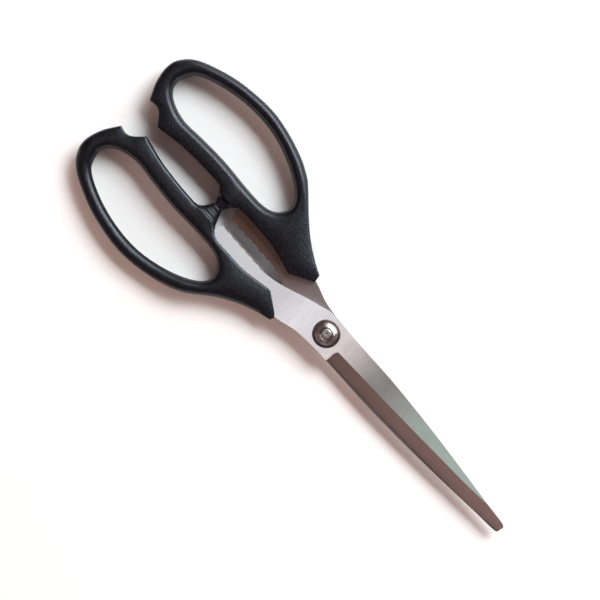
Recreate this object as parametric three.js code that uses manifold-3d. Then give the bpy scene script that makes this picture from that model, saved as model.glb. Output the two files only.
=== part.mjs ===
// Household shears, 10 inch (255 mm) overall.
// Two identical steel blades with toothed tangs turn on one rivet. Each tang is held in a moulded
// plastic handle with a finger bow, a cap-lifter notch at its end and a stop on its inner side.
//
// Millimetres, +Z up. The origin is on the rivet's axis, in the plane that the shears lie on.
// +X runs to the blade tips. The front half is drawn with its handle on the -Y side; the rear half
// is the same half turned over about the X axis, so its handle is on the +Y side.

import * as THREE from 'three';
import { mergeVertices } from 'three/addons/utils/BufferGeometryUtils.js';
import Module from 'manifold-3d';

const wasm = await Module();
wasm.setup();

// ---------------------------------------------------------------- driving dimensions

const gap = 0.3; // clearance between pieces that touch
const handleThick = 11; // plastic handle, underside to top
const handleChamfer = 1.2;
const steelThick = 2.5; // blade and tang
const edgeThick = 0.25; // steel left at the cutting edge
const bevelWidth = 6.1; // ground bevel along the cutting edge
const ricassoEnd = 9; // x where the unground steel ends and the bevel begins
const rivetRadius = 2.9;
const rivetNeckRadius = 1.9; // the neck that passes through the domed washer
const formedEndRadius = 2.4;
const lowerHeadRadius = 5;
const domeRadius = 6.4;
const frictionWasherRadius = 4.6;
const frictionWasherThick = 0.9;
const backWasherRadius = 5.6;
const backWasherThick = 0.8;
const bowShift = 1.9; // both bows stand this far towards +Y of the rivet's axis
const toothPitch = 4.6; // teeth along the inner edge of the tang
const toothDepth = 0.5;
const stopFrom = -82; // the stop's steps run between these two places along the handle
const stopTo = -68;
const stopStairs = [[1, 2.4], [3.6, 1.9], [5.9, 0.95]]; // each step's reach from the stop, and its drop
const stopBackStep = [[3.9, 1.9]]; // the single step on the stop's other face

// Levels
const midLevel = handleThick / 2;
const innerFace = midLevel + gap / 2; // inner face of the front steel
const outerFace = innerFace + steelThick; // outer face of the front steel
const lowerOuterFace = handleThick - outerFace; // outer face of the rear steel

const roundSegments = 40;

// ---------------------------------------------------------------- materials

function material(color, roughness, metalness) {
  return new THREE.MeshStandardMaterial({ color, roughness, metalness });
}

const bladeSteel = () => material(0xb8b4b6, 0.35, 1);
const polishedSteel = () => material(0xcfccd0, 0.2, 1);
const blackPlastic = () => material(0x1c1d23, 0.55, 0);

// ---------------------------------------------------------------- solids

function toSolid(geometry) {
  geometry.deleteAttribute('normal');
  geometry.deleteAttribute('uv');
  const merged = mergeVertices(geometry, 1e-4);
  return new wasm.Manifold(new wasm.Mesh({
    numProp: 3,
    vertProperties: new Float32Array(merged.attributes.position.array),
    triVerts: new Uint32Array(merged.index.array),
  }));
}

function toGeometry(solid) {
  const mesh = solid.getMesh();
  const geometry = new THREE.BufferGeometry();
  geometry.setAttribute('position', new THREE.BufferAttribute(new Float32Array(mesh.vertProperties), 3));
  geometry.setIndex(new THREE.BufferAttribute(new Uint32Array(mesh.triVerts), 1));
  geometry.computeVertexNormals();
  return geometry;
}

// A flat plate with the given outline, from level z0 to level z1.
// A chamfer takes that much off both rims; a negative one lets the plate grow by that much.
function plate(outline, z0, z1, chamfer = 0, holes = []) {
  const shape = new THREE.Shape(outline);
  shape.holes = holes.map((hole) => new THREE.Path(hole));
  const rim = Math.abs(chamfer);
  const geometry = new THREE.ExtrudeGeometry(shape, {
    depth: z1 - z0 - 2 * rim,
    bevelEnabled: rim > 0,
    bevelThickness: rim,
    bevelSize: rim,
    bevelOffset: chamfer > 0 ? -chamfer : 0,
    bevelSegments: 1,
  });
  geometry.translate(0, 0, z0 + rim);
  return toSolid(geometry);
}

// A round solid about the rivet's axis from its outline of (radius, z) points.
function turned(points) {
  const profile = points.map(([r, z]) => new THREE.Vector2(r, z));
  const geometry = new THREE.LatheGeometry(profile, roundSegments);
  geometry.rotateX(Math.PI / 2);
  return toSolid(geometry);
}

function cylinder(radius, z0, z1) {
  return turned([[0, z0], [radius, z0], [radius, z1], [0, z1]]);
}

function washer(hole, radius, z0, z1) {
  return turned([[hole, z0], [radius, z0], [radius, z1], [hole, z1], [hole, z0]]);
}

// A smooth curve through the given points.
function smooth(points, steps) {
  const curve = new THREE.SplineCurve(points.map(([x, y]) => new THREE.Vector2(x, y)));
  return curve.getPoints(steps);
}

// One closed outline from several runs of points; a point that repeats the one before it is dropped.
function joined(...runs) {
  const points = runs.flat();
  return points.filter((point, index) => point.distanceTo(points[(index || points.length) - 1]) > 0.01);
}

// ---------------------------------------------------------------- blade and tang
// Drawn as the front half: the spine is on +Y, the cutting edge and the handle on -Y.

const tangInnerY = -2.3; // toothed inner edge of the tang
const tangTeethStart = -66.2;
const tangTeethEnd = -38;

function bladeOutline(teeth) {
  const spine = smooth([
    [0, 8.4], [10, 8.05], [24, 8], [36, 7.95], [54, 7.2], [72, 6.05], [90, 4.6],
    [104, 3.35], [112, 2.8], [116.2, 2.4], [117.7, 1.7], [117.9, 0.6],
  ], 48);
  const cuttingEdge = smooth([
    [117.9, 0.6], [117.3, -0.9], [115.6, -1.8], [110, -2.5], [99, -3.6], [81, -4.9], [58, -6],
    [36, -6.7], [ricassoEnd, -7.6],
  ], 36);
  const tangOutside = smooth([
    [ricassoEnd, -8.05], [0, -8.3], [-10.5, -9.35], [-20.3, -12.1], [-32, -13.4], [-46, -13.2],
    [-57, -11.6], [-64, -9.6], [-67.8, -7.2], [-68.3, -4.4], [tangTeethStart - 0.6, tangInnerY],
  ], 44);
  const toothed = [new THREE.Vector2(tangTeethStart, tangInnerY)];
  if (teeth) {
    const count = Math.floor((tangTeethEnd - tangTeethStart) / toothPitch);
    const stepsPerTooth = 6;
    for (let step = 1; step < count * stepsPerTooth; step += 1) {
      const phase = (step % stepsPerTooth) / stepsPerTooth;
      const bite = toothDepth * Math.sin(Math.PI * phase);
      const x = tangTeethStart + (step * toothPitch) / stepsPerTooth;
      toothed.push(new THREE.Vector2(x, tangInnerY - bite));
    }
  }
  const crossing = smooth([
    [tangTeethEnd, tangInnerY], [-33, -1.3], [-27, 0.6], [-18, 4.1], [-12.6, 5.9], [-6, 8.1], [0, 8.4],
  ], 22);
  return joined(spine, cuttingEdge, tangOutside, toothed, crossing);
}

// The wedge that is ground away to leave the bevel. Its edge line runs from the ricasso to the tip.
function bevelCutter() {
  const lineStart = new THREE.Vector3(ricassoEnd, -7.55, innerFace);
  const lineEnd = new THREE.Vector3(125, -2.1, innerFace);
  const along = new THREE.Vector3().subVectors(lineEnd, lineStart);
  const length = along.length();
  along.normalize();
  const up = new THREE.Vector3(0, 0, 1);
  const inward = new THREE.Vector3().crossVectors(up, along);
  const slope = (steelThick - edgeThick) / bevelWidth;
  const reach = 6; // the wedge runs this far past the edge on every open side
  const profile = [
    [bevelWidth + reach, steelThick + slope * reach],
    [-reach, steelThick + slope * reach],
    [-reach, edgeThick - slope * reach],
  ];
  const shape = new THREE.Shape(profile.map(([u, w]) => new THREE.Vector2(u, w)));
  const geometry = new THREE.ExtrudeGeometry(shape, { depth: length, bevelEnabled: false });
  geometry.applyMatrix4(new THREE.Matrix4().makeBasis(inward, up, along).setPosition(lineStart));
  return toSolid(geometry);
}

function makeBlade() {
  const recess = midLevel + frictionWasherThick / 2 + gap; // holds half of the friction washer
  return plate(bladeOutline(true), innerFace, outerFace)
    .subtract(bevelCutter())
    .subtract(cylinder(rivetRadius + gap, 0, handleThick))
    .subtract(cylinder(frictionWasherRadius + gap, 0, recess));
}

// ---------------------------------------------------------------- handle
// Drawn on the +Y side and then laid on the -Y side for the front half. The bow leans towards one
// side of the rivet's axis: its share grows from 0 to 1 between two places along the handle.

function leanShare(x, from, to) {
  return THREE.MathUtils.clamp((from - x) / (from - to), 0, 1);
}

function placed(points, lean, from, to) {
  return points.map(({ x, y }) => new THREE.Vector2(x, -y + lean * leanShare(x, from, to)));
}

function handleOutline(lean) {
  const outer = smooth([
    [-21.6, 15], [-27, 17], [-36, 21.5], [-45, 27.7], [-54, 35.4], [-59, 38.9], [-67.5, 42.6],
    [-80, 45.7], [-92.3, 46.8], [-108, 44.9], [-120, 41.4], [-130.3, 36.6], [-135.6, 31],
    [-137.1, 24.6], [-135.4, 16.8], [-131, 8.6],
  ], 48);
  const notch = smooth([[-131, 8.6], [-128.4, 9.2], [-125.2, 8.7], [-122.6, 6.6], [-119.7, 3.25]], 8);
  const innerBack = smooth([
    [-119.7, 3.25], [-108, 5.5], [-98, 6.4], [-88, 6.7], [-82.6, 6.5], [-79.8, 4.6], [-77.4, gap / 2],
  ], 18);
  const innerFront = smooth([
    [-72.7, gap / 2], [-70.7, 4.1], [-68.3, 7.2], [-64, 8.6], [-56, 8.65], [-47, 8.45], [-40.5, 7.3],
    [-31.7, 5.3],
  ], 16);
  const frontCorner = new THREE.Vector2(-20.7, 11.65);
  return joined(
    placed(outer, lean, -18, -45),
    placed([...notch, ...innerBack, ...innerFront, frontCorner], lean, -65, -72),
  );
}

function bowHole(lean) {
  const rim = smooth([
    [-129.3, 24], [-126, 31.2], [-117, 35.9], [-105, 39.2], [-92, 40.5], [-80, 39.4], [-67, 35.4],
    [-57, 29.8], [-53, 24.2], [-55, 18.6], [-61, 15.4], [-72, 14.9], [-88, 15.5], [-102, 14.9],
    [-114, 14.1], [-123.2, 16.3], [-127.9, 19.9], [-129.3, 24],
  ], 56);
  return joined(placed(rim, lean, -18, -45));
}

// The tang's pocket in the handle: the tang's own outline with clearance all round, and open to the
// inner side, so that the steel's toothed edge stands in the gap between the handles.
function tangPocket() {
  const outline = bladeOutline(false).filter(({ x }) => x < 1);
  return plate(outline, innerFace - gap, outerFace + gap, -gap);
}

// Cuts steps into one face of the stop, lowest where the two stops meet. The face is the handle's
// upper one or, with underside set, its lower one.
function stopCutter(steps, lean, underside) {
  const meet = lean - gap / 2;
  const clear = 1; // the cutter stands this far clear of the handle
  const level = (drop) => (underside ? drop : handleThick - drop);
  const profile = [[meet + clear, level(-clear)], [meet + clear, level(steps[0][1])]];
  steps.forEach(([reach, drop], index) => {
    const nextDrop = index + 1 < steps.length ? steps[index + 1][1] : -clear;
    profile.push([meet - reach, level(drop)], [meet - reach, level(nextDrop)]);
  });
  const shape = new THREE.Shape(profile.map(([y, z]) => new THREE.Vector2(y, z)));
  const geometry = new THREE.ExtrudeGeometry(shape, { depth: stopTo - stopFrom, bevelEnabled: false });
  const across = new THREE.Matrix4().makeBasis(
    new THREE.Vector3(0, 1, 0), new THREE.Vector3(0, 0, 1), new THREE.Vector3(1, 0, 0));
  geometry.applyMatrix4(across.setPosition(stopFrom, 0, 0));
  return toSolid(geometry);
}

function makeHandle(lean) {
  return plate(handleOutline(lean), 0, handleThick, handleChamfer, [bowHole(lean)])
    .subtract(stopCutter(stopStairs, lean, false))
    .subtract(stopCutter(stopBackStep, lean, true))
    .subtract(tangPocket());
}

// ---------------------------------------------------------------- rivet and washers

const lowerHeadTop = lowerOuterFace - gap - backWasherThick - gap;
const domeBottom = outerFace + gap;
const domeRim = 0.6;
const domeHeight = 1.6;
const formedEndBottom = domeBottom + domeHeight + gap;
const formedEndHeight = 0.6;
const formedEndTop = formedEndBottom + formedEndHeight;
const dimpleRadius = 0.7; // centre mark in the formed end
const dimpleDepth = 0.2;
const neckBore = rivetNeckRadius + gap;

function makeRivet() {
  const shoulder = outerFace + gap / 2;
  return turned([
    [0, 0], [lowerHeadRadius, 0], [lowerHeadRadius, lowerHeadTop], [rivetRadius, lowerHeadTop],
    [rivetRadius, shoulder], [rivetNeckRadius, shoulder], [rivetNeckRadius, formedEndBottom],
    [formedEndRadius, formedEndBottom], [formedEndRadius, formedEndBottom + formedEndHeight / 2],
    [formedEndRadius - formedEndHeight, formedEndTop], [dimpleRadius, formedEndTop],
    [0, formedEndTop - dimpleDepth],
  ]);
}

function makeDomedWasher() {
  const arcSteps = 6;
  const profile = [[neckBore, domeBottom], [domeRadius, domeBottom]];
  for (let step = 0; step <= arcSteps; step += 1) {
    const turn = (step / arcSteps) * (Math.PI / 2);
    const radius = neckBore + (domeRadius - neckBore) * Math.cos(turn);
    profile.push([radius, domeBottom + domeRim + (domeHeight - domeRim) * Math.sin(turn)]);
  }
  profile.push([neckBore, domeBottom]);
  return turned(profile);
}

function makeFrictionWasher() {
  const half = frictionWasherThick / 2;
  return washer(rivetRadius + gap, frictionWasherRadius, midLevel - half, midLevel + half);
}

function makeBackWasher() {
  const top = lowerOuterFace - gap;
  return washer(rivetRadius + gap, backWasherRadius, top - backWasherThick, top);
}

// ---------------------------------------------------------------- assembly

function node(name, solid, finish) {
  const mesh = new THREE.Mesh(toGeometry(solid), finish);
  mesh.name = name;
  return mesh;
}

const frontHalf = new THREE.Group();
frontHalf.add(node('front_blade', makeBlade(), bladeSteel()));
frontHalf.add(node('front_handle', makeHandle(bowShift), blackPlastic()));

const rearHalf = new THREE.Group();
rearHalf.add(node('rear_blade', makeBlade(), bladeSteel()));
rearHalf.add(node('rear_handle', makeHandle(-bowShift), blackPlastic()));
rearHalf.rotation.x = Math.PI;
rearHalf.position.z = handleThick;

const pivot = new THREE.Group();
pivot.add(node('pivot_rivet', makeRivet(), polishedSteel()));
pivot.add(node('domed_washer', makeDomedWasher(), polishedSteel()));
pivot.add(node('friction_washer', makeFrictionWasher(), polishedSteel()));
pivot.add(node('back_washer', makeBackWasher(), polishedSteel()));

const shears = new THREE.Group();
shears.add(rearHalf, frontHalf, pivot);

export default shears;
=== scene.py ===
"""Household shears: the looks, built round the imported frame, in the frame's own axes.

Sizes are in millimetres and are multiplied by MM where they meet the frame's metres. The outlines of
the handles and the blades are read from the frame's own solids and smoothed. Each handle and each
blade is then a plan mesh with its own upper and lower surface.
"""

import math

import bmesh
import bpy
import numpy as np
from mathutils import Matrix, Vector
from mathutils.geometry import delaunay_2d_cdt
from mathutils.kdtree import KDTree


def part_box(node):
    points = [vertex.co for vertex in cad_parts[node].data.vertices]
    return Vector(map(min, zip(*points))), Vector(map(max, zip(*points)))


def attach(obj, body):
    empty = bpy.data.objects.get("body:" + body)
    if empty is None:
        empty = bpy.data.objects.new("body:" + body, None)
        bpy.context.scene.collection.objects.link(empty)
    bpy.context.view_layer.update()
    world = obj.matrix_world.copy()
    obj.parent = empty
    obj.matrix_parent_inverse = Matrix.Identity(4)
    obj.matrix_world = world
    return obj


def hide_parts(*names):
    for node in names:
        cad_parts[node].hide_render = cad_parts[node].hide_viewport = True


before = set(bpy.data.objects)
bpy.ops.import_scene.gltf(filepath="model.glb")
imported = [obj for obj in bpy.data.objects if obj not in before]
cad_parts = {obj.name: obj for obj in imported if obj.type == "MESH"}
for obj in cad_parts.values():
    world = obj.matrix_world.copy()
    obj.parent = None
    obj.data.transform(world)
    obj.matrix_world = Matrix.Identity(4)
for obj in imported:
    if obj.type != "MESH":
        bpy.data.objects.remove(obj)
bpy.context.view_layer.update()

MM = 0.001

# ------------------------------------------------------------------ sizes read from the frame


def node_box(node):
    """The lowest and highest corner of a CAD node."""
    low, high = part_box(node)
    return np.array(low) / MM, np.array(high) / MM


HANDLE_LOW, HANDLE_HIGH = node_box("front_handle")
BLADE_LOW, BLADE_HIGH = node_box("front_blade")
DOME_LOW, DOME_HIGH = node_box("domed_washer")
RIVET_LOW, RIVET_HIGH = node_box("pivot_rivet")
BACK_LOW = node_box("back_washer")[0]
HANDLE_THICK = HANDLE_HIGH[2] - HANDLE_LOW[2]
INNER_FACE = BLADE_LOW[2]
OUTER_FACE = BLADE_HIGH[2]
STEEL_THICK = OUTER_FACE - INNER_FACE
MID_LEVEL = HANDLE_THICK / 2
TIP_X = BLADE_HIGH[0]

WIDEST_LEVEL = 2.2  # the front handle has its full outline at this level, clear of chamfer and steps


# ------------------------------------------------------------------ outlines from the frame

WELD = 1e-6  # vertices nearer to each other than this, in metres, are one
STRAIGHT_SINE = 0.002  # a turn with a smaller sine than this counts as straight
CURVE_STEPS = 12  # steps of the smooth curve between two points of an outline


def section_loops(node, level):
    """The closed loops where a level plane cuts a CAD node, as arrays of (x, y), longest first."""
    cut = bmesh.new()
    cut.from_mesh(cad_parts[node].data)
    bmesh.ops.remove_doubles(cut, verts=cut.verts, dist=WELD)
    everything = cut.verts[:] + cut.edges[:] + cut.faces[:]
    made = bmesh.ops.bisect_plane(cut, geom=everything, plane_co=(0, 0, level * MM), plane_no=(0, 0, 1))
    cut.verts.index_update()
    neighbours = {}
    for part in made["geom_cut"]:
        if isinstance(part, bmesh.types.BMEdge):
            for vert in part.verts:
                neighbours.setdefault(vert.index, []).append(part.other_vert(vert).index)
    cut.verts.ensure_lookup_table()
    where = {i: np.array(cut.verts[i].co[:2]) / MM for i in neighbours}
    cut.free()
    loops = []
    unused = set(neighbours)
    while unused:
        loop = [min(unused)]
        while loop:
            unused.discard(loop[-1])
            onward = [n for n in neighbours[loop[-1]] if n in unused]
            if not onward:
                break
            loop.append(onward[0])
        loops.append(without_straights(np.array([where[i] for i in loop])))
    return sorted(loops, key=lambda loop: -np.ptp(loop[:, 0]))


def without_straights(loop):
    """Leaves out the points that lie on a straight line between their neighbours."""
    before = loop - np.roll(loop, 1, axis=0)
    after = np.roll(loop, -1, axis=0) - loop
    area = np.abs(before[:, 0] * after[:, 1] - before[:, 1] * after[:, 0])
    lengths = np.linalg.norm(before, axis=1) * np.linalg.norm(after, axis=1)
    return loop[area > STRAIGHT_SINE * lengths]


def smooth_loop(loop, spacing, corner_degrees):
    """A closed loop resampled evenly along a Catmull-Rom curve, keeping its sharp corners."""
    before = loop - np.roll(loop, 1, axis=0)
    after = np.roll(loop, -1, axis=0) - loop
    heading = np.arctan2(after[:, 1], after[:, 0]) - np.arctan2(before[:, 1], before[:, 0])
    turn = np.abs((heading + math.pi) % (2 * math.pi) - math.pi)
    corners = list(np.flatnonzero(turn > math.radians(corner_degrees)))
    closed = not corners
    if closed:
        corners = [0]
    pieces = []
    count = len(loop)
    for here, onward in zip(corners, corners[1:] + [corners[0] + count]):
        run = loop[np.arange(here, onward + 1) % count]
        first = loop[(here - 1) % count] if closed else 2 * run[0] - run[1]
        last = loop[(onward + 1) % count] if closed else 2 * run[-1] - run[-2]
        padded = np.vstack([first, run, last])
        dense = []
        for p0, p1, p2, p3 in zip(padded, padded[1:], padded[2:], padded[3:]):
            for t in np.linspace(0, 1, CURVE_STEPS, endpoint=False):
                squared = (2 * p0 - 5 * p1 + 4 * p2 - p3) * t**2
                cubed = (3 * p1 - p0 - 3 * p2 + p3) * t**3
                dense.append(0.5 * (2 * p1 + (p2 - p0) * t + squared + cubed))
        dense.append(run[-1])
        dense = np.array(dense)
        walked = np.concatenate([[0], np.cumsum(np.linalg.norm(np.diff(dense, axis=0), axis=1))])
        steps = max(1, round(walked[-1] / spacing))
        at = np.linspace(0, walked[-1], steps, endpoint=False)
        pieces.append(np.column_stack([np.interp(at, walked, dense[:, k]) for k in (0, 1)]))
    return np.vstack(pieces)


# ------------------------------------------------------------------ plan meshes

TINY = 1e-9  # stands in for a length of nothing, so that nothing is divided by zero
PLAN_WELD = 1e-5  # points of a plan nearer to each other than this are one
BLOCK = 2000  # points tested at a time, to keep the tables small


class Chain:
    """A line of closely spaced points, closed or open, that can be asked for distances."""

    def __init__(self, points, closed=True):
        self.points = points
        if closed:
            self.onward = np.roll(points, -1, axis=0)
            self.before = np.roll(points, 1, axis=0)
        else:
            self.onward = np.vstack([points[1:], points[-1:]])
            self.before = np.vstack([points[:1], points[:-1]])
        self.tree = KDTree(len(points))
        for i, (x, y) in enumerate(points):
            self.tree.insert((x, y, 0), i)
        self.tree.balance()

    def distance(self, places):
        """Each place's distance to the line, and the index of the line's point nearest to it."""
        nearest = np.array([self.tree.find((x, y, 0))[1] for x, y in places], int)
        best = np.full(len(places), np.inf)
        for other in (self.onward, self.before):
            start = self.points[nearest]
            along = other[nearest] - start
            squared = np.maximum((along**2).sum(1), TINY)
            share = np.clip(((places - start) * along).sum(1) / squared, 0, 1)
            best = np.minimum(best, np.linalg.norm(places - start - share[:, None] * along, axis=1))
        return best, nearest


def inside(points, loops):
    """True where a point is inside the first loop and outside the others (even-odd rule)."""
    odd = np.zeros(len(points), bool)
    for loop in loops:
        x1, y1 = loop.T
        x2, y2 = np.roll(loop, -1, axis=0).T
        for block in range(0, len(points), BLOCK):
            x, y = points[block:block + BLOCK].T
            crosses = (y1[None] > y[:, None]) != (y2[None] > y[:, None])
            rise = np.where(np.abs(y2 - y1) < TINY, TINY, y2 - y1)
            cut = x1[None] + (y[:, None] - y1[None]) * (x2 - x1)[None] / rise[None]
            odd[block:block + BLOCK] ^= (crosses & (x[:, None] < cut)).sum(1) % 2 == 1
    return odd


def plan_mesh(loops, lines, free_points):
    """Triangulates the area inside the loops. Returns the plan's points and its triangles.

    The triangles keep to the closed loops and to the open lines, and use every free point.
    """
    points = []
    edges = []
    for loop in loops:
        base = len(points)
        points.extend(loop)
        edges.extend((base + i, base + (i + 1) % len(loop)) for i in range(len(loop)))
    for line in lines:
        base = len(points)
        points.extend(line)
        edges.extend((base + i, base + i + 1) for i in range(len(line) - 1))
    points.extend(free_points)
    plan = delaunay_2d_cdt([Vector(p) for p in points], edges, [], 0, PLAN_WELD)
    where = np.array([(v.x, v.y) for v in plan[0]])
    triangles = np.array(plan[2])
    middle = where[triangles].mean(1)
    return where, triangles[inside(middle, loops)]


def solid_from_plan(name, plan, triangles, top, bottom):
    """A closed mesh between two surfaces over one plan, in millimetres."""
    used, triangles = np.unique(triangles, return_inverse=True)
    triangles = triangles.reshape(-1, 3)
    plan = plan[used]
    count = len(plan)
    sides = {}
    for a, b, c in triangles:
        for edge in ((a, b), (b, c), (c, a)):
            if (edge[1], edge[0]) in sides:
                del sides[(edge[1], edge[0])]
            else:
                sides[edge] = True
    upper = np.column_stack([plan, top(plan)])
    lower = np.column_stack([plan, bottom(plan)])
    verts = np.vstack([upper, lower])
    faces = [tuple(t) for t in triangles]
    faces += [tuple(t[::-1] + count) for t in triangles]
    faces += [(b, a, a + count, b + count) for a, b in sides]
    mesh = bpy.data.meshes.new(name)
    mesh.from_pydata((verts * MM).tolist(), [], [tuple(int(i) for i in f) for f in faces])
    mesh.validate()
    mesh.update()
    piece = bpy.data.objects.new(name, mesh)
    bpy.context.scene.collection.objects.link(piece)
    return piece


def shade(piece, sharp_degrees):
    """Smooth shading, with edges sharper than the given angle left crisp."""
    for polygon in piece.data.polygons:
        polygon.use_smooth = True
    piece.data.set_sharp_from_angle(angle=math.radians(sharp_degrees))


def turned_over(piece):
    """Turns a front piece over about the X axis into the rear one's place."""
    flip = Matrix.Translation((0, 0, HANDLE_THICK * MM)) @ Matrix.Rotation(math.pi, 4, "X")
    piece.data.transform(flip)
    piece.data.update()


# ------------------------------------------------------------------ handles

# A place on a handle is given by its x and by how far across it lies, away from the plane where the
# two stops meet. A pair of numbers is a range, in x unless its name or comment says otherwise.

EDGE_ROUND = 2.0  # rounding of the handle's outer edges
ARM_ROUND = 3.1  # the same on the bow's slim outer arm and on the neck
SLOT_ROUND = 1.4  # the same on the arms that face each other
LOW_ROUND = 1.2  # the same on the edges that run beside the steel
HARD_ROUND = 0.7  # the same on the front face, the notch and the stop's face
ROUND_BLEND = 2  # a rounding is averaged over this many points either way
OUTER_ARM_ACROSS = 30  # the outer arm's own edge lies farther across than this
NECK_X = -69  # the neck lies ahead of this
NECK_MIDDLE_ACROSS = 14  # the neck's two edges lie to either side of this
REAR_NECK = (-60, -46)  # the rear neck's outer edge sharpens along here
SLOT_X = -84  # the arms that face each other lie behind this
SLOT_ACROSS = 16  # and less far across than this
FRONT_FACE_X = -31.9  # the handle's front face lies ahead of this
FRONT_FACE_ACROSS = 13.6  # and less far across than this
FRONT_TIP_X = -27  # ahead of this, all of the outline is the front face
NOTCH = (-131.2, -119.5)
NOTCH_ACROSS = 9.6
STOP_FACE = (-79, -71)
STOP_FACE_ACROSS = 1.0

HOLE_WALL = 3.0  # width of the drafted wall and its shoulder round the finger hole
ARM_WALL = 3.5  # the same on the bow's slim outer arm
WALL_WIDENS_ACROSS = (22, 32)
WALL_SLOPE = 2.3  # the drafted wall's rise for each millimetre in
SHOULDER_SLOPE = 0.5  # the same on the shoulder between the wall and the face
WALL_ENDS = (0.22, 0.45)  # shares of the width where the wall's slope fades out
SHOULDER_ENDS = (0.6, 1)  # the same for the shoulder's slope

CROWN = 1.7  # how much lower the handle's thin parts lie than its thick neck
CROWN_WIDTH = 11.0  # the handle is at its full height where it is this deep inside its outline
NECK_TAPER = 1.3  # how much thinner the handle gets towards the blade
TAPER = (-62, -20)
ARM_SET = 1.6  # the front bow's slim outer arm lies this much lower than its inner one
ARM_SET_ACROSS = (22, 36)
ARM_SET_ENDS = (-75, -55)
PARTING_BAND = 0.3  # half the upright band left along the moulding's parting line

STOP_FROM, STOP_TO = -82.0, -68.0  # the stop's extent along the handle
STOP_MIDDLE = (STOP_FROM + STOP_TO) / 2
STOP_FADE_OUT, STOP_FADE_IN = 1, 1.5  # its steps fade from this far outside it to this far inside
STOP_STEPS = ((5.5, 6.9, 0.85), (3.5, 4.5, 0.75), (2.1, 2.6, 0.5))  # from, to, drop
STOP_GROOVES = ((5.15, 0.3), (1.9, 0.35), (0.15, 0.4))  # place and depth of the lines between steps
GROOVE_SPREAD = 0.24
STOP_BACK_STEP = (3.2, 4.6, 1.9)  # from, to, drop, on the handle's other face

OUTLINE_SPACING = 0.6  # of the outlines' points
OUTER_CORNER, HOLE_CORNER = 33, 60  # an outline that turns by more degrees than this stays sharp
RING_SHARES = (0.06, 0.13, 0.21, 0.3, 0.4, 0.5, 0.61, 0.72, 0.84, 1.0, 1.3, 1.7)  # of the rounding
RING_CLEAR = 0.93  # a ring's point is dropped where another wall is nearer than this share
RING_GAP = 0.02  # or nearer than this
GRID_PITCH = 1.1
GRID_CLEAR = 1.9  # the grid starts this many roundings in from the walls
STOP_PITCH, STEP_PITCH = 0.5, 0.22  # spacing of the stop's own grid, along and across its steps
STOP_GRID_ACROSS = (0.3, 8.2)
STOP_GRID_GAP = 0.12
STOP_CLEAR, STOP_CLEAR_ACROSS = 1.2, 8.3  # no other points are kept inside the stop's own grid


def smoothstep(x, low, high):
    """A share that climbs smoothly from 0 at low to 1 at high."""
    t = np.clip((x - low) / (high - low), 0, 1)
    return t * t * (3 - 2 * t)


def within(x, span):
    """True where x lies inside the range."""
    return (x > span[0]) & (x < span[1])


EDGE_PLACES = np.linspace(1, 0, 201)  # shares of the edge's width, from the face out to the wall
EDGE_SLOPES = WALL_SLOPE * (1 - smoothstep(EDGE_PLACES, *WALL_ENDS))
EDGE_SLOPES += SHOULDER_SLOPE * (1 - smoothstep(EDGE_PLACES, *SHOULDER_ENDS))
EDGE_FALLS = np.cumsum(EDGE_SLOPES) / len(EDGE_PLACES)


def rounded_edge(depth, radius, room):
    """How far a quarter-round edge lies below the face. It falls no further than the room."""
    t = 1 - np.clip(depth / radius, 0, 1)
    return (1 - np.sqrt(np.maximum(1 - t * t, 0))) * np.minimum(radius, room)


def walled_edge(depth, width, room):
    """How far the wall and its shoulder lie below the face. They fall no further than the room."""
    fall = np.interp(depth / width, EDGE_PLACES[::-1], EDGE_FALLS[::-1])
    return fall * np.minimum(width, room / EDGE_FALLS[-1])


class SoftDepth:
    """Depth inside the outline, blurred so that it has no crease along the middle of an arm."""

    PITCH = 0.5
    SPREAD = 1.3  # of the blur
    MARGIN = 4  # round the outline

    def __init__(self, loops, chains):
        self.low = loops[0].min(0) - self.MARGIN
        size = np.ceil((np.ptp(loops[0], axis=0) + 2 * self.MARGIN) / self.PITCH).astype(int) + 1
        gx, gy = np.meshgrid(np.arange(size[0]), np.arange(size[1]), indexing="ij")
        grid = self.low + np.column_stack([gx.ravel(), gy.ravel()]) * self.PITCH
        filled = inside(grid, loops)
        depth = np.zeros(len(grid))
        depth[filled] = np.min([chain.distance(grid[filled])[0] for chain in chains], axis=0)
        reach = int(3 * self.SPREAD / self.PITCH)
        kernel = np.exp(-0.5 * (np.arange(-reach, reach + 1) * self.PITCH / self.SPREAD) ** 2)
        kernel /= kernel.sum()
        depth = depth.reshape(size)
        for axis in (0, 1):
            depth = sum(w * np.roll(depth, k - reach, axis) for k, w in enumerate(kernel))
        self.depth = depth

    def at(self, points):
        """The blurred depth at each point, blended from the four corners of its cell."""
        cell = (points - self.low) / self.PITCH
        i, j = np.floor(cell).astype(int).T
        s, t = (cell - np.floor(cell)).T
        lower = self.depth[i, j] * (1 - s) + self.depth[i + 1, j] * s
        upper = self.depth[i, j + 1] * (1 - s) + self.depth[i + 1, j + 1] * s
        return lower * (1 - t) + upper * t


def inwards(loop):
    """Unit vectors that point into the area, for each point of a closed loop."""
    tangent = np.roll(loop, -1, axis=0) - np.roll(loop, 1, axis=0)
    normal = np.column_stack([-tangent[:, 1], tangent[:, 0]])
    normal /= np.linalg.norm(normal, axis=1)[:, None]
    onward = np.roll(loop, -1, axis=0)
    area = (loop[:, 0] * onward[:, 1] - onward[:, 0] * loop[:, 1]).sum()
    return normal * math.copysign(1, area)


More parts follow.
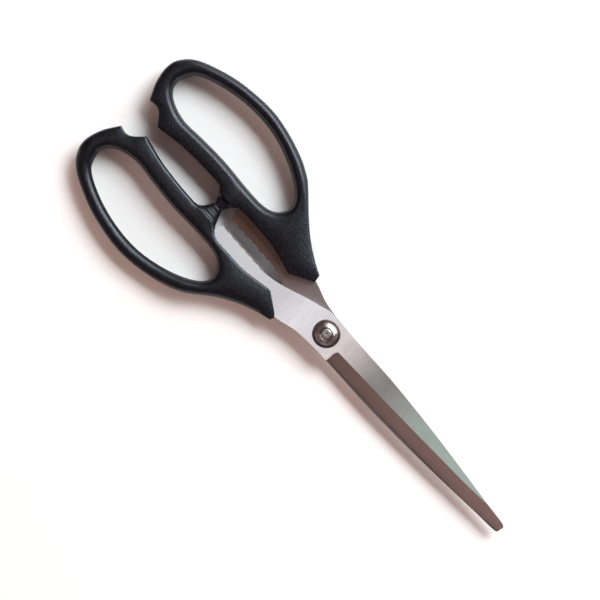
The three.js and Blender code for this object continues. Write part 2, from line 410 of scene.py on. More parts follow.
def edge_radii(outer, across, side):
    """The rounding at each point of the handle's outline, blended where it changes."""
    x = outer[:, 0]
    on_neck = x > NECK_X
    on_arm = across > OUTER_ARM_ACROSS
    radius = EDGE_ROUND + (ARM_ROUND - EDGE_ROUND) * (on_arm | on_neck)
    radius[(across < SLOT_ACROSS) & (x < SLOT_X)] = SLOT_ROUND
    if side > 0:
        radius += (LOW_ROUND - ARM_ROUND) * smoothstep(x, *REAR_NECK) * (across > NECK_MIDDLE_ACROSS)
    radius[(across < NECK_MIDDLE_ACROSS) & on_neck & (x <= FRONT_FACE_X)] = LOW_ROUND
    hard = (x > FRONT_FACE_X) & ((across < FRONT_FACE_ACROSS) | (x > FRONT_TIP_X))
    hard |= within(x, NOTCH) & (across < NOTCH_ACROSS)
    hard |= within(x, STOP_FACE) & (across < STOP_FACE_ACROSS)
    radius[hard] = HARD_ROUND
    shifts = range(-ROUND_BLEND, ROUND_BLEND + 1)
    return sum(np.roll(radius, k) for k in shifts) / len(shifts)


def make_handle(node, side):
    """One handle's solid. The front one lies on the -Y side (side -1), the rear one on the +Y side."""
    level = WIDEST_LEVEL if side < 0 else HANDLE_THICK - WIDEST_LEVEL
    loops = section_loops(node, level)[:2]
    outer = smooth_loop(loops[0], OUTLINE_SPACING, OUTER_CORNER)
    hole = smooth_loop(loops[1], OUTLINE_SPACING, HOLE_CORNER)
    loops = [outer, hole]
    chains = [Chain(outer), Chain(hole)]
    stop_edge = outer[np.abs(outer[:, 0] - STOP_MIDDLE) < 2][:, 1]
    stop_face = stop_edge[np.abs(stop_edge).argmin()]

    def across(points):
        """Distance from the plane where the stops meet, into this handle."""
        return side * (points[:, 1] - stop_face)

    radii = edge_radii(outer, across(outer), side)
    widths = HOLE_WALL + (ARM_WALL - HOLE_WALL) * smoothstep(across(hole), *WALL_WIDENS_ACROSS)
    soft_depth = SoftDepth(loops, chains)

    def edge_gap(points):
        """Distance to the nearest wall, and the width of its rounding."""
        gap_outer, nearest = chains[0].distance(points)
        gap_hole, nearest_hole = chains[1].distance(points)
        return (np.minimum(gap_outer, gap_hole),
                np.where(gap_outer < gap_hole, radii[nearest], widths[nearest_hole]))

    def fall(points, arm_set=0.0):
        """How far the surface lies below the handle's full height, on either face."""
        gap_outer, nearest = chains[0].distance(points)
        gap_hole, nearest_hole = chains[1].distance(points)
        thinness = 1 - np.clip(soft_depth.at(points) / CROWN_WIDTH, 0, 1)
        taper = NECK_TAPER * smoothstep(points[:, 0], *TAPER)
        face = CROWN * thinness**2 + taper
        on_arm = smoothstep(across(points), *ARM_SET_ACROSS)
        face += arm_set * on_arm * (1 - smoothstep(points[:, 0], *ARM_SET_ENDS))
        room = MID_LEVEL - PARTING_BAND - face
        return face + np.maximum(rounded_edge(gap_outer, radii[nearest], room),
                                 walled_edge(gap_hole, widths[nearest_hole], room))

    def on_stop(points):
        """How much of the stop's steps there is at each point's x, from 0 to 1."""
        rise = smoothstep(points[:, 0], STOP_FROM - STOP_FADE_OUT, STOP_FROM + STOP_FADE_IN)
        return rise * (1 - smoothstep(points[:, 0], STOP_TO - STOP_FADE_IN, STOP_TO + STOP_FADE_OUT))

    def stepped(points):
        """Height of the face that has the stop's steps, above this handle's other side."""
        depth = across(points)
        stairs = sum(drop * (1 - smoothstep(depth, near, far)) for near, far, drop in STOP_STEPS)
        stairs += sum(drop * np.exp(-((depth - at) / GROOVE_SPREAD) ** 2) for at, drop in STOP_GROOVES)
        arm_set = ARM_SET if side < 0 else 0
        return HANDLE_THICK - fall(points, arm_set) - stairs * on_stop(points)

    def plain(points):
        """Height of the other face, which has one step, above this handle's other side."""
        near, far, drop = STOP_BACK_STEP
        return fall(points) + drop * (1 - smoothstep(across(points), near, far)) * on_stop(points)

    def rings():
        """Points that follow the two outlines, close together where the surface curves."""
        for loop, way, round_at in ((outer, inwards(outer), radii), (hole, -inwards(hole), widths)):
            for share in RING_SHARES:
                ring = loop + way * (share * round_at)[:, None]
                gap = edge_gap(ring)[0]
                clear = (gap > RING_CLEAR * share * round_at) & (gap > RING_GAP)
                yield ring[inside(ring, loops) & clear]

    def coarse_grid():
        """Staggered rows of points over the nearly level middle."""
        low, high = outer.min(0), outer.max(0)
        columns, rows = np.arange(low[0], high[0], GRID_PITCH), np.arange(low[1], high[1], GRID_PITCH)
        x, y = np.meshgrid(columns, rows)
        stagger = GRID_PITCH / 2 * (np.arange(x.size) // x.shape[1] % 2)
        grid = np.column_stack([x.ravel() + stagger, y.ravel()])
        gap, radius = edge_gap(grid)
        return grid[inside(grid, loops) & (gap > GRID_CLEAR * radius)]

    def stop_grid():
        """Close rows of points along the stop's steps."""
        columns = np.arange(STOP_FROM + STOP_FADE_IN, STOP_TO - STOP_FADE_IN, STOP_PITCH)
        x, y = np.meshgrid(columns, np.arange(*STOP_GRID_ACROSS, STEP_PITCH))
        grid = np.column_stack([x.ravel(), stop_face + side * y.ravel()])
        return grid[inside(grid, loops) & (edge_gap(grid)[0] > STOP_GRID_GAP)]

    points = np.vstack([*rings(), coarse_grid()])
    in_stop = within(points[:, 0], (STOP_FROM + STOP_CLEAR, STOP_TO - STOP_CLEAR))
    in_stop &= across(points) < STOP_CLEAR_ACROSS
    plan, triangles = plan_mesh(loops, [], np.vstack([points[~in_stop], stop_grid()]))
    if side < 0:
        piece = solid_from_plan(node + "_shell", plan, triangles, stepped, plain)
    else:
        piece = solid_from_plan(node + "_shell", plan, triangles,
                                lambda points: HANDLE_THICK - plain(points),
                                lambda points: HANDLE_THICK - stepped(points))
    shade(piece, sharp_degrees=50)
    return piece


front_handle = make_handle("front_handle", -1)
rear_handle = make_handle("rear_handle", 1)
for piece, node, body in ((front_handle, "front_handle", "front_half"),
                          (rear_handle, "rear_handle", "rear_half")):
    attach(piece, body)
    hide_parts(node)


# ------------------------------------------------------------------ blades

RICASSO_END = 9.0  # x where the ground bevel begins
TIP_CUT = 6  # the tip's slanted end starts this far short of the tip
EDGE_Y = (-7.9, -0.5)  # the cutting edge lies within this
EDGE_THICK = 0.05  # of the very edge
MICRO_WIDTH = 0.4  # the sharpened strip along the cutting edge
MICRO_HEIGHT = 0.245  # how much thicker the blade is behind that strip
BEVEL_WIDTH = 6.1
BEVEL_HOLLOW = 0.12  # depth of the hollow ground into the bevel
PLUNGE_START = -0.15  # where the grinding begins at the cutting edge, from the ricasso's end
PLUNGE_SWEEP = 0.8  # how much farther along it begins at the bevel's upper edge
PLUNGE_POWER = 6
PLUNGE_WALL = 0.3  # length of the short slope from the ricasso down to the bevel
INNER_HOLLOW = 0.12  # depth of the inner face's hollow
INNER_HOLLOW_X = (12, 26)  # it deepens along here
BLADE_HOLE = 3.0  # radius of the hole for the rivet's neck
RECESS_RADIUS = 4.9  # round recess that holds the friction washer
RECESS_DEPTH = 0.6
RECESS_LEAN = 0.04  # its wall leans out by this much

BLADE_SPACING = 0.5
BLADE_CORNER = 30  # degrees
EDGE_BLUR = 9  # points of the cutting edge that are averaged
EDGE_BEFORE, EDGE_BEYOND = 2, 15  # how far the cutting edge is carried on past its two ends
EDGE_END_STEPS = 7  # its direction at the tip is taken over this many steps
BLADE_COLUMN, BLADE_ROW = 2.0, 1.6  # spacing of the grid
BEVEL_LINES = (MICRO_WIDTH, 1.6, 3.0, 4.4, BEVEL_WIDTH)  # mesh lines, this deep in from the edge
PLUNGE_LINES = (0, 0.35, 0.65, 1)  # mesh lines down the plunge wall, as shares of its length


def circle(radius, count=64):
    """Points round the rivet's axis."""
    turn = np.arange(count) / count * 2 * math.pi
    return np.column_stack([radius * np.cos(turn), radius * np.sin(turn)])


def offset_line(line, distance):
    """The open line moved sideways, to its left."""
    tangent = np.gradient(line, axis=0)
    normal = np.column_stack([-tangent[:, 1], tangent[:, 0]])
    normal /= np.linalg.norm(normal, axis=1)[:, None]
    return line + normal * distance


def hollow(share):
    """A shallow arch: 0 at shares 0 and 1, and 1 halfway between."""
    return 4 * share * np.clip(1 - share, 0, 1)


def plunge_x(depth):
    """Where the ground bevel begins, at each depth in from the cutting edge."""
    share = np.clip(depth / BEVEL_WIDTH, 0, 1.1)
    return RICASSO_END + PLUNGE_START + PLUNGE_SWEEP * share**PLUNGE_POWER


def cutting_edge(outline):
    """The blade's cutting edge from the ricasso to the tip, carried straight on at both ends."""
    edge_x = (RICASSO_END - 0.1, TIP_X - TIP_CUT)
    edge = outline[within(outline[:, 0], edge_x) & within(outline[:, 1], EDGE_Y)]
    edge = edge[np.argsort(edge[:, 0])]
    padded = np.pad(edge[:, 1], EDGE_BLUR // 2, "edge")
    edge[:, 1] = np.convolve(padded, np.ones(EDGE_BLUR) / EDGE_BLUR, "valid")
    last_stretch = edge[-1] - edge[-1 - EDGE_END_STEPS]
    onward = last_stretch / np.linalg.norm(last_stretch)
    steps = np.arange(BLADE_SPACING, EDGE_BEYOND, BLADE_SPACING)
    beyond = [edge[-1] + onward * step for step in steps]
    before = [edge[0] - (step, 0) for step in np.arange(EDGE_BEFORE, 0, -BLADE_SPACING)]
    return np.vstack([before, edge, beyond])


def make_blade(name):
    """The front blade's solid. Its bevel has the second material slot, its inner face the third."""
    section = section_loops("front_blade", INNER_FACE + 0.05)[0]
    outline = smooth_loop(section, BLADE_SPACING, BLADE_CORNER)
    edge = cutting_edge(outline)
    edge_line = Chain(edge, closed=False)
    spine_line = Chain(outline[(outline[:, 1] > 0) & (outline[:, 0] > RICASSO_END)], closed=False)

    def ground(points):
        """Depth in from the cutting edge, and how far the grinding reaches (0 at the ricasso)."""
        depth = edge_line.distance(points)[0]
        start = plunge_x(depth)
        return depth, smoothstep(points[:, 0], start, start + PLUNGE_WALL)

    def bevel_height(depth):
        """The ground blade's thickness, this deep in from the cutting edge."""
        micro = MICRO_HEIGHT * depth / MICRO_WIDTH + EDGE_THICK
        share = np.clip((depth - MICRO_WIDTH) / (BEVEL_WIDTH - MICRO_WIDTH), 0, 2)
        main = MICRO_HEIGHT + EDGE_THICK + (STEEL_THICK - MICRO_HEIGHT - EDGE_THICK) * share
        main -= BEVEL_HOLLOW * hollow(share)
        return np.minimum(np.minimum(micro, main), STEEL_THICK)

    def outer_face(points):
        """Height of the face that is ground to the bevel."""
        depth, reach = ground(points)
        return INNER_FACE + STEEL_THICK * (1 - reach) + bevel_height(depth) * reach

    def inner_face(points):
        """Height of the face that slides on the other blade."""
        to_edge = edge_line.distance(points)[0]
        to_spine = spine_line.distance(points)[0]
        share = to_edge / np.maximum(to_edge + to_spine, 0.01)
        ground_in = INNER_HOLLOW * hollow(share) * smoothstep(points[:, 0], *INNER_HOLLOW_X)
        from_axis = np.hypot(points[:, 0], points[:, 1])
        recess = RECESS_DEPTH * (from_axis < RECESS_RADIUS + RECESS_LEAN / 2)
        return INNER_FACE + ground_in + recess

    depths = np.linspace(0.05, BEVEL_WIDTH + 0.6, 14)
    starts = plunge_x(depths)
    wall = np.column_stack([starts, np.interp(starts, edge[:, 0], edge[:, 1]) + depths])
    lines = [wall + (share * PLUNGE_WALL, 0) for share in PLUNGE_LINES]
    ahead = round(EDGE_BEFORE / BLADE_SPACING)
    lines += [offset_line(edge, depth)[ahead:] for depth in BEVEL_LINES]
    for radius in (RECESS_RADIUS, RECESS_RADIUS + RECESS_LEAN):
        lines.append(np.vstack([circle(radius), circle(radius)[:1]]))
    low, high = outline.min(0), outline.max(0)
    columns, rows = np.arange(low[0], high[0], BLADE_COLUMN), np.arange(low[1], high[1], BLADE_ROW)
    x, y = np.meshgrid(columns, rows)
    grid = np.column_stack([x.ravel(), y.ravel()])
    grid = grid[inside(grid, [outline]) & (Chain(outline).distance(grid)[0] > BLADE_SPACING)]
    plan, triangles = plan_mesh([outline, circle(BLADE_HOLE)], lines, grid)
    piece = solid_from_plan(name, plan, triangles, outer_face, inner_face)
    middles = np.array([p.center for p in piece.data.polygons]) / MM
    up = np.array([p.normal.z for p in piece.data.polygons])
    depth, reach = ground(middles[:, :2])
    is_bevel = (depth < BEVEL_WIDTH) & (reach > 0.9) & (up > 0.3)
    is_inner = up < -0.9
    for polygon, bevel, inner in zip(piece.data.polygons, is_bevel, is_inner):
        polygon.material_index = 1 if bevel else 2 if inner else 0
    shade(piece, sharp_degrees=12)
    return piece


front_blade = make_blade("front_blade_steel")
rear_blade = make_blade("rear_blade_steel")
turned_over(rear_blade)
for piece, node, body in ((front_blade, "front_blade", "front_half"),
                          (rear_blade, "rear_blade", "rear_half")):
    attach(piece, body)
    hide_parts(node)


# ------------------------------------------------------------------ rivet and washers


def lathed(name, profile, body, segments=96):
    """A closed round piece about the rivet's axis, from (radius, z) points in millimetres."""
    ring = circle(1, segments)
    verts = []
    rows = []
    for radius, z in profile:
        if radius == 0:
            rows.append([len(verts)] * segments)
            verts.append((0, 0, z))
        else:
            rows.append(list(range(len(verts), len(verts) + segments)))
            verts.extend((radius * x, radius * y, z) for x, y in ring)
    faces = []
    closed = profile[0][0] != 0
    pairs = list(zip(rows, rows[1:])) + ([(rows[-1], rows[0])] if closed else [])
    for lower, upper in pairs:
        for i in range(segments):
            j = (i + 1) % segments
            corners = [lower[i], lower[j], upper[j], upper[i]]
            face = [c for k, c in enumerate(corners) if c != corners[k - 1]]
            if len(face) > 2:
                faces.append(face)
    mesh = bpy.data.meshes.new(name)
    mesh.from_pydata([tuple(c * MM for c in v) for v in verts], [], faces)
    mesh.validate()
    piece = bpy.data.objects.new(name, mesh)
    bpy.context.scene.collection.objects.link(piece)
    shade(piece, sharp_degrees=35)
    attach(piece, body)
    return piece


def arc(center, radius, start, end, steps):
    """Points (r, z) on an arc, angles in degrees from outwards to upwards."""
    angles = [math.radians(start + (end - start) * k / steps) for k in range(steps + 1)]
    return [(center[0] + radius * math.cos(a), center[1] + radius * math.sin(a)) for a in angles]


DOME_RADIUS = DOME_HIGH[0]
DOME_BORE = 2.5
BRIM_THICK = 0.4
BRIM_CHAMFER = 0.06  # on the brim's lower edge
BRIM_ROUND = ((0.04, 0.16), (0.12, 0.12))  # in from the brim's edge and down from its top
CAP_OUTER, CAP_INNER = 5.35, 2.9  # the radii between which the cap rises
CAP_SHARES = (0.12, 0.25, 0.4, 0.55, 0.7, 0.85, 1)  # the mesh has a ring at each of these shares
CAP_CURVE = 1.5  # above 1 the cap is steep at its rim and nearly level inside
DOME_SUNK = 0.4  # the cap's top lies this much below the rivet's
GROOVE_DROP = 0.4  # from the cap's top down to the groove
BOSS_RADIUS = 2.35  # the rivet's formed end
BOSS_ROUND = 0.7
BOSS_SIDE = 0.5  # its side ends this far below its top
BOSS_RISE = 0.4
BOSS_TOP = ((1.2, 0.06), (0.75, 0.04), (0.5, 0.12), (0, 0.16))  # radius, and drop from the top
NECK_RADIUS = 2.9
NECK_PROUD = 0.1  # the neck ends this far above the upper blade
HEAD_ROUND = 0.5
HEAD_GAP = 0.02  # between the rivet's lower head and the washer on it


def make_dome():
    """A narrow level brim, a rounded cap inside it, and a groove round the rivet's end."""
    base, peak = DOME_LOW[2], RIVET_HIGH[2] - DOME_SUNK
    rim_top = base + BRIM_THICK
    profile = [(DOME_BORE, base), (DOME_RADIUS - BRIM_CHAMFER, base), (DOME_RADIUS, base + BRIM_CHAMFER)]
    profile += [(DOME_RADIUS - inset, rim_top - drop) for inset, drop in BRIM_ROUND]
    profile.append((CAP_OUTER, rim_top))
    for share in CAP_SHARES:
        climbed = 1 - (1 - share) ** CAP_CURVE
        radius = CAP_OUTER - (CAP_OUTER - CAP_INNER) * share
        profile.append((radius, rim_top + (peak - rim_top) * climbed))
    profile += [(CAP_INNER - 0.15, peak - 0.08), (DOME_BORE, peak - GROOVE_DROP)]
    return lathed("domed_washer_polished", profile, "rear_half")


def make_rivet():
    """The flat lower head, the neck through the blades, and the small formed end on top."""
    low, high = RIVET_LOW[2], RIVET_HIGH[2]
    radius = RIVET_HIGH[0]
    head_top = BACK_LOW[2] - HEAD_GAP
    neck_top = OUTER_FACE + NECK_PROUD
    profile = [(0, low), (radius - HEAD_ROUND, low)]
    profile += arc((radius - HEAD_ROUND, low + HEAD_ROUND), HEAD_ROUND, -90, 0, 5)
    profile += [(radius, head_top), (NECK_RADIUS, head_top), (NECK_RADIUS, neck_top)]
    profile += [(BOSS_RADIUS, neck_top), (BOSS_RADIUS, high - BOSS_SIDE)]
    for angle in np.linspace(0.2, math.pi / 2, 7):
        profile.append((BOSS_RADIUS - BOSS_ROUND + BOSS_ROUND * math.cos(angle),
                        high - BOSS_SIDE + BOSS_RISE * math.sin(angle)))
    profile += [(radius, high - drop) for radius, drop in BOSS_TOP]
    return lathed("pivot_rivet_formed", profile, "rear_half")


dome = make_dome()
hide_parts("domed_washer")
rivet = make_rivet()
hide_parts("pivot_rivet")


# ------------------------------------------------------------------ materials

WHITE = (1, 1, 1)


def grey(level):
    return (level, level, level)


class Nodes:
    """A material's node tree, with short calls for the nodes used here."""

    def __init__(self, name):
        self.material = bpy.data.materials.new(name)
        self.material.use_nodes = True
        self.tree = self.material.node_tree
        self.shader = self.tree.nodes["Principled BSDF"]
        coords = self.tree.nodes.new("ShaderNodeTexCoord")
        self.place = coords.outputs["Object"]

    def link(self, source, target):
        self.tree.links.new(source, target)

    def scaled(self, scale, turn=(0, 0, 0)):
        """The place on the piece, turned and stretched."""
        node = self.tree.nodes.new("ShaderNodeMapping")
        node.inputs["Scale"].default_value = scale
        node.inputs["Rotation"].default_value = turn
        self.link(self.place, node.inputs["Vector"])
        return node.outputs["Vector"]

    def noise(self, vector, scale, detail=2.0, roughness=0.5):
        node = self.tree.nodes.new("ShaderNodeTexNoise")
        node.inputs["Scale"].default_value = scale
        node.inputs["Detail"].default_value = detail
        node.inputs["Roughness"].default_value = roughness
        self.link(vector, node.inputs["Vector"])
        return node.outputs["Fac"]

    def ramp(self, value, stops):
        """A colour that changes with a value, from (value, colour) stops."""
        node = self.tree.nodes.new("ShaderNodeValToRGB")
        ramp = node.color_ramp
        while len(ramp.elements) < len(stops):
            ramp.elements.new(0.5)
        for element, (place, color) in zip(ramp.elements, stops):
            element.position = place
            element.color = (*color, 1)
        self.link(value, node.inputs["Fac"])
        return node.outputs["Color"]

    def remap(self, value, low=0.0, high=1.0, start=0.0, end=1.0):
        """Turns a value between start and end into one between low and high."""
        node = self.tree.nodes.new("ShaderNodeMapRange")
        node.inputs["From Min"].default_value = start
        node.inputs["From Max"].default_value = end
        node.inputs["To Min"].default_value = low
        node.inputs["To Max"].default_value = high
        self.link(value, node.inputs["Value"])
        return node.outputs["Result"]

    def multiplied(self, color, other):
        node = self.tree.nodes.new("ShaderNodeMix")
        node.data_type = "RGBA"
        node.blend_type = "MULTIPLY"
        node.inputs["Factor"].default_value = 1.0
        self.link(color, node.inputs["A"])
        self.link(other, node.inputs["B"])
        return node.outputs["Result"]

    def bump(self, height, distance, strength=1.0, normal=None):
        node = self.tree.nodes.new("ShaderNodeBump")
        node.inputs["Distance"].default_value = distance
        node.inputs["Strength"].default_value = strength
        self.link(height, node.inputs["Height"])
        if normal is not None:
            self.link(normal, node.inputs["Normal"])
        return node.outputs["Normal"]

    def constant(self, **sockets):
        """Sets shader sockets that are the same all over."""
        for name, value in sockets.items():
            self.shader.inputs[name.replace("_", " ")].default_value = value


def plastic_material():
    """Black moulded plastic with a fine spark-eroded grain and a faint blue cast."""
    m = Nodes("moulded_black_plastic")
    grain = m.noise(m.place, scale=1300, detail=3, roughness=0.7)
    cloud = m.noise(m.place, scale=90, detail=4, roughness=0.6)
    speck = m.noise(m.place, scale=1100, detail=2, roughness=0.6)
    black, speck_tone = (0.0002, 0.0002, 0.0005), (0.009, 0.0095, 0.015)
    m.link(m.ramp(speck, [(0.4, black), (0.66, speck_tone)]), m.shader.inputs["Base Color"])
    m.link(m.remap(cloud, low=0.26, high=0.34), m.shader.inputs["Roughness"])
    m.link(m.bump(grain, distance=0.00016, strength=0.8), m.shader.inputs["Normal"])
    m.constant(IOR=1.42, Specular_Tint=(0.82, 0.87, 1.0, 1))
    return m.material


def steel_material(name, tones, turn, roughness, line_depth):
    """Satin stainless steel with fine grinding lines running one way across the blade.

    The tones are (x in millimetres, colour) stops along the blade, and carry painted reflection and
    painted shade. The turn is how far the lines lean from straight across, and their depth is in metres.
    """
    m = Nodes(name)
    leaning = (0, 0, turn)
    lines = m.noise(m.scaled((5200, 90, 90), leaning), scale=1.0, detail=3, roughness=0.6)
    fine = m.noise(m.scaled((12000, 300, 300), leaning), scale=1.0, detail=2, roughness=0.5)
    streaks = m.noise(m.scaled((1100, 110, 110), leaning), scale=1.0, detail=3, roughness=0.6)
    cloud = m.noise(m.place, scale=60, detail=4, roughness=0.55)
    split = m.tree.nodes.new("ShaderNodeSeparateXYZ")
    m.link(m.place, split.inputs["Vector"])
    start, end = tones[0][0], tones[-1][0]
    along = m.remap(split.outputs["X"], start=start * MM, end=end * MM)
    tone = m.ramp(along, [((x - start) / (end - start), color) for x, color in tones])
    tone = m.multiplied(tone, m.ramp(cloud, [(0.3, grey(0.9)), (0.7, WHITE)]))
    tone = m.multiplied(tone, m.ramp(streaks, [(0.35, grey(0.94)), (0.65, WHITE)]))
    m.link(tone, m.shader.inputs["Base Color"])
    m.link(m.remap(cloud, roughness - 0.04, roughness + 0.05), m.shader.inputs["Roughness"])
    coarse = m.bump(lines, line_depth, strength=0.6)
    m.link(m.bump(fine, line_depth / 2, strength=0.5, normal=coarse), m.shader.inputs["Normal"])
    m.constant(Metallic=1.0)
    return m.material


def turned_material(name, tones, mark_depth):
    """Steel with faint rings round the rivet's axis and a few small marks.

    The tones are (radius in millimetres, colour, roughness) stops outwards from the axis; on the
    dome and the rivet their colours carry painted shade. The marks' depth is in metres.
    """
    m = Nodes(name)
    wave = m.tree.nodes.new("ShaderNodeTexWave")
    wave.wave_type = "RINGS"
    wave.rings_direction = "Z"
    wave.inputs["Scale"].default_value = 900
    wave.inputs["Distortion"].default_value = 1.5
    m.link(m.place, wave.inputs["Vector"])
    marks = m.noise(m.place, scale=500, detail=4, roughness=0.65)
    radius = m.tree.nodes.new("ShaderNodeVectorMath")
    radius.operation = "LENGTH"
    m.link(m.scaled((1, 1, 0)), radius.inputs[0])
    outermost = tones[-1][0]
    outwards = m.remap(radius.outputs["Value"], end=outermost * MM)
    tone = m.ramp(outwards, [(r / outermost, color) for r, color, _ in tones])
    tone = m.multiplied(tone, m.ramp(marks, [(0.35, grey(0.72)), (0.65, WHITE)]))
    m.link(tone, m.shader.inputs["Base Color"])
    rough = m.ramp(outwards, [(r / outermost, grey(roughness)) for r, _, roughness in tones])
    rough = m.multiplied(rough, m.ramp(marks, [(0.3, grey(0.8)), (0.7, WHITE)]))
    m.link(rough, m.shader.inputs["Roughness"])
    rings = m.bump(wave.outputs["Fac"], distance=0.000006, strength=0.4)
    m.link(m.bump(marks, mark_depth, strength=0.5, normal=rings), m.shader.inputs["Normal"])
    m.constant(Metallic=1.0)
    return m.material


LINE_TURN = math.radians(2)  # how far the grinding lines lean from straight across the blades
PALE = (0.86, 0.9, 0.97)
# The flats' tones along x are painted reflection and painted shade: brightest beside the dome, dark from
# 27 to 46 mm, greenish towards the tip, and darker along the tangs beside the handles' front faces.
FLAT_PAINTED_REFLECTION_TONES = ((-70, (0.55, 0.6, 0.64)), (-50, (0.58, 0.63, 0.67)), (-32, (0.6, 0.64, 0.69)),
              (-24, (0.66, 0.69, 0.75)), (-14, PALE), (2, PALE), (8, (0.97, 0.98, 1.0)),
              (14, (0.88, 0.88, 0.89)), (22, (0.68, 0.68, 0.68)), (28, (0.46, 0.47, 0.47)),
              (36, (0.42, 0.44, 0.44)), (46, (0.54, 0.59, 0.57)), (60, (0.6, 0.73, 0.7)),
              (118, (0.62, 0.74, 0.72)))
# The bevel's tones are painted reflection: darker and browner than the flats, for the dark room the bevel
# mirrors, and lighter towards the tip.
BEVEL_PAINTED_REFLECTION_TONES = ((8, (0.38, 0.35, 0.35)), (60, (0.52, 0.48, 0.48)), (118, (0.64, 0.59, 0.59)))
# The inner faces' tones are painted shade: dark brown along the tangs, where the rear handle shades the
# rear tang between the handles, lighter towards the rivet.
INNER_PAINTED_SHADE_TONES = ((-70, (0.12, 0.068, 0.055)), (-40, (0.13, 0.08, 0.068)), (-15, (0.26, 0.22, 0.21)),
               (2, (0.24, 0.2, 0.19)), (14, (0.18, 0.145, 0.14)), (118, (0.2, 0.165, 0.16)))
# The dome's and the rivet's tones paint shade: the darker centre round the rivet's formed end and the
# darker brownish rim are painted shade, and the lighter band between lies where the cap's highlight
# falls.
CENTRE_PAINTED_SHADE = (0.36, 0.33, 0.33)
BRIGHT = (0.6, 0.56, 0.57)
RIM_PAINTED_SHADE = (0.15, 0.115, 0.11)
DOME_PAINTED_SHADE_TONES = ((0, CENTRE_PAINTED_SHADE, 0.3), (3.0, CENTRE_PAINTED_SHADE, 0.3), (3.5, BRIGHT, 0.28), (4.7, BRIGHT, 0.3),
              (5.2, RIM_PAINTED_SHADE, 0.34), (6.5, RIM_PAINTED_SHADE, 0.34))
RIVET_PAINTED_SHADE_TONES = ((0, CENTRE_PAINTED_SHADE, 0.4), (6, (0.5, 0.47, 0.47), 0.36))
WASHER_TONES = ((0, (0.5, 0.48, 0.48), 0.34), (6, (0.57, 0.55, 0.55), 0.36))

plastic = plastic_material()
flat_steel = steel_material("satin_blade_steel", FLAT_PAINTED_REFLECTION_TONES, LINE_TURN, 0.21, line_depth=0.000008)
inner_steel = steel_material("ground_inner_steel", INNER_PAINTED_SHADE_TONES, 0, 0.45, line_depth=0.000012)
bevel_steel = steel_material("ground_bevel_steel", BEVEL_PAINTED_REFLECTION_TONES, -LINE_TURN, 0.27, line_depth=0.000012)
dome_steel = turned_material("polished_dome_steel", DOME_PAINTED_SHADE_TONES, mark_depth=0.0003)
rivet_steel = turned_material("formed_rivet_steel", RIVET_PAINTED_SHADE_TONES, mark_depth=0.00006)
washer_steel = turned_material("washer_steel", WASHER_TONES, mark_depth=0.00003)
front_handle.data.materials.append(plastic)
rear_handle.data.materials.append(plastic)
for blade in (front_blade, rear_blade):
    blade.data.materials.append(flat_steel)
    blade.data.materials.append(bevel_steel)
    blade.data.materials.append(inner_steel)
dome.data.materials.append(dome_steel)
rivet.data.materials.append(rivet_steel)
for node in ("friction_washer", "back_washer"):
    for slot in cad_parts[node].material_slots:
        slot.material = washer_steel


# ------------------------------------------------------------------ floor and light, in metres

FLOOR_HALF = 2.4
FLOOR_LEVEL = -0.05 * MM  # just clear of the rivet's lower head
FLOOR_TONES = ((0.2, (0.86, 0.845, 0.85)), (0.8, (0.88, 0.865, 0.87)))
ROOM_COLOR = (0.15, 0.097, 0.086, 1)
MIDDLE = (-0.01, 0, 0)  # of the part
PANELS = (  # name, place, what it shines towards, size, radiance, colour
    ("key", (-0.01, 1.54, 1.27), MIDDLE, (1.2, 0.85), 13.6, (0.92, 1, 1.01)),
    ("wide_glow", (-0.01, 1.9, 1.1), MIDDLE, (3.4, 2.0), 2.7, (0.96, 1, 1)),
    ("overhead", (-0.1725, 0, 0.97), (-0.1725, 0, 0), (0.435, 0.4), 1.1, (1, 0.95, 0.945)),
    ("beyond_tips", (0.29, 0, 0.97), (0.29, 0, 0), (0.32, 0.4), 0.62, (0.9, 0.96, 0.92)),
    ("brown_card", (0, -0.8, 0.72), MIDDLE, (1.6, 0.5), 0.25, (1, 0.64, 0.58)),
    ("low_card", (0, -1.6, 0.52), MIDDLE, (4.1, 0.87), 3.0, (1, 0.72, 0.62)),
)


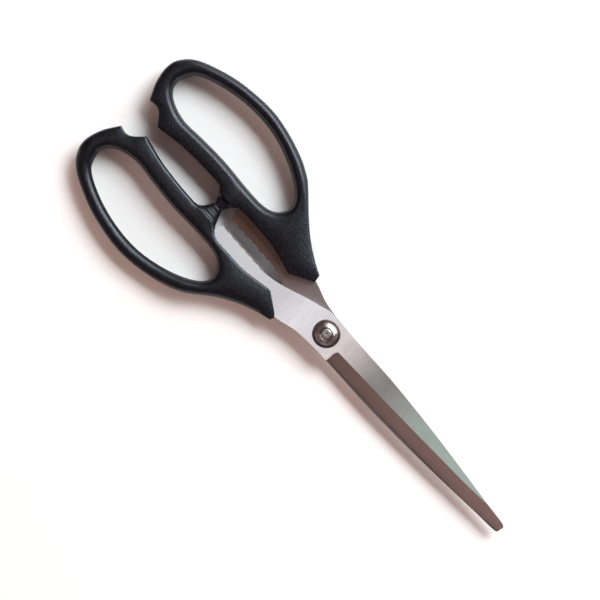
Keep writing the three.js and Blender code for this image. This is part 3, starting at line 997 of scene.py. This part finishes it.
def make_floor():
    """A pale sheet of paper, wide enough to fill every view from above."""
    mesh = bpy.data.meshes.new("floor")
    sides = ((-1, -1), (1, -1), (1, 1), (-1, 1))
    corners = [(x * FLOOR_HALF, y * FLOOR_HALF, FLOOR_LEVEL) for x, y in sides]
    mesh.from_pydata(corners, [], [(0, 1, 2, 3)])
    floor = bpy.data.objects.new("floor", mesh)
    bpy.context.scene.collection.objects.link(floor)
    m = Nodes("pale_floor")
    paper = m.noise(m.place, scale=14, detail=3, roughness=0.5)
    m.link(m.ramp(paper, FLOOR_TONES), m.shader.inputs["Base Color"])
    m.constant(Roughness=0.8, Specular_IOR_Level=0.2)
    mesh.materials.append(m.material)


def panel(name, place, aim, size, radiance, color):
    """An oblong light panel that shines towards a point. Radiance is in Blender's own units."""
    data = bpy.data.lights.new(name, "AREA")
    data.shape = "RECTANGLE"
    data.size, data.size_y = size
    data.energy = radiance * math.pi * size[0] * size[1]
    data.color = color
    light = bpy.data.objects.new(name, data)
    towards = (Vector(aim) - Vector(place)).normalized()
    light.matrix_world = Matrix.Translation(place) @ towards.to_track_quat("-Z", "Y").to_matrix().to_4x4()
    bpy.context.scene.collection.objects.link(light)
    return light


def make_light():
    """A dim warm room and the panels."""
    world = bpy.data.worlds.new("room")
    world.use_nodes = True
    background = world.node_tree.nodes["Background"]
    background.inputs["Color"].default_value = ROOM_COLOR
    background.inputs["Strength"].default_value = 1.0
    bpy.context.scene.world = world
    lights = {name: panel(name, *settings) for name, *settings in PANELS}
    lights["overhead"].visible_diffuse = False  # these two only give the steel something to mirror
    lights["beyond_tips"].visible_diffuse = False
    lights["low_card"].visible_glossy = False  # this one only softens the shadows


make_floor()
make_light()
bpy.context.scene.view_settings.view_transform = "Standard"


# ------------------------------------------------------------------ camera

FRAME_WIDTH = 270 * MM  # what the frame's width shows, at the handles' middle level
VIEW_DISTANCE = 0.75  # metres above that level
VIEW_X, VIEW_Y = -0.0192, 0.0013
SENSOR = 36
camera_data = bpy.data.cameras.new("camera")
camera_data.sensor_width = SENSOR
camera_data.lens = SENSOR * VIEW_DISTANCE / FRAME_WIDTH
camera = bpy.data.objects.new("camera", camera_data)
right = Vector((0.665, 0.7469, 0)).normalized()  # the direction that is right in the frame
up = Vector((-right.y, right.x, 0))
turn = Matrix((right, up, (0, 0, 1))).transposed().to_4x4()
camera.matrix_world = Matrix.Translation((VIEW_X, VIEW_Y, MID_LEVEL * MM + VIEW_DISTANCE)) @ turn
bpy.context.scene.collection.objects.link(camera)
bpy.context.scene.camera = camera
